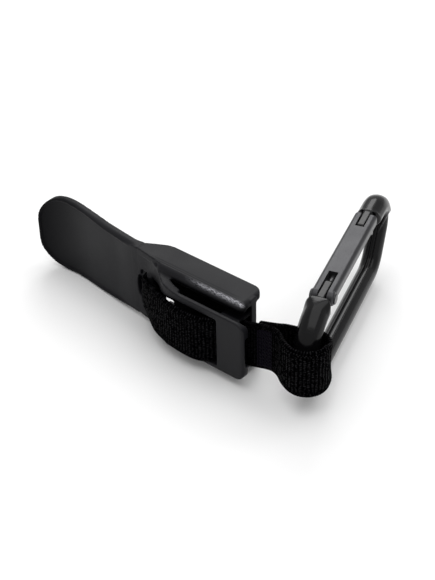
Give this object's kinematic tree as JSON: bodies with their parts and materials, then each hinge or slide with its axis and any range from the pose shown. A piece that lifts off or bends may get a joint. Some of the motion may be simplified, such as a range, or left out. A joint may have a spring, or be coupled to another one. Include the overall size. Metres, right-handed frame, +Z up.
{
  "type": "clip lanyard with snap carabiner",
  "caption": "Slide-on plastic rail clip with a release tongue, joined by a sewn webbing loop to a sprung-gate snap carabiner, for hanging a handheld unit from a pack or belt.",
  "frame": {"origin": "open end of the rail channel, on the base plate's rear face, half way up the clip", "axes": "+X along the rail channel, out of its open end towards the strap; +Y out of the channel's open rear side, the way the carabiner points; +Z up, across the clip's width"},
  "size_m": [0.1132, 0.0795, 0.03],
  "materials": {
    "clip_plastic": "fine moulded texture, worn glossier on the raised edges",
    "webbing": "woven nylon webbing",
    "thread": "heavy bar-tack thread",
    "dark_metal": "polished black-nickel plating",
    "gate_metal": "brushed black-nickel plating",
    "pin_metal": "plated"
  },
  "bodies": {
    "clip": {"clip_body": "clip_plastic", "strap_anchor": "webbing"},
    "tongue": {"release_tongue": "clip_plastic"},
    "strap": {"strap_loop": "webbing", "loop_stitching": "thread"},
    "carabiner": {"carabiner_frame": "dark_metal"},
    "gate": {"carabiner_gate": "gate_metal", "gate_pivot_pin": "pin_metal", "gate_latch_pin": "pin_metal", "gate_spring": "pin_metal"},
    "plunger": {"gate_plunger": "pin_metal"}
  },
  "joints": [
    {"name": "tongue_flex", "type": "hinge", "parent": "clip", "child": "tongue", "pos_m": [-0.0422, -0.0034, 0], "axis": [0, 0, 1], "range_deg": [0, 6], "stiffness_Nm_per_rad": 0.6},
    {"name": "strap_bend", "type": "hinge", "parent": "clip", "child": "strap", "pos_m": [0.0039, -0.0045, 0], "axis": [0, 0, 1], "range_deg": [-40, 30]},
    {"name": "carabiner_swing", "type": "hinge", "parent": "strap", "child": "carabiner", "pos_m": [0.02044, -0.00458, 0], "axis": [0, 0, 1], "range_deg": [-45, 20]},
    {"name": "gate_hinge", "type": "hinge", "parent": "carabiner", "child": "gate", "pos_m": [0.01575, 0.0103, 0.0137], "axis": [-0.9537, -0.3007, 0], "range_deg": [0, 24], "stiffness_Nm_per_rad": 0.05, "springref_deg": -22.92},
    {"name": "plunger_slide", "type": "slide", "parent": "gate", "child": "plunger", "axis": [-0.3007, 0.9537, 0], "range_m": [0, 0.00082]}
  ],
  "couplings": [
    {"joint": "plunger_slide", "follows": "gate_hinge", "m_per_rad": 0.00191}
  ]
}
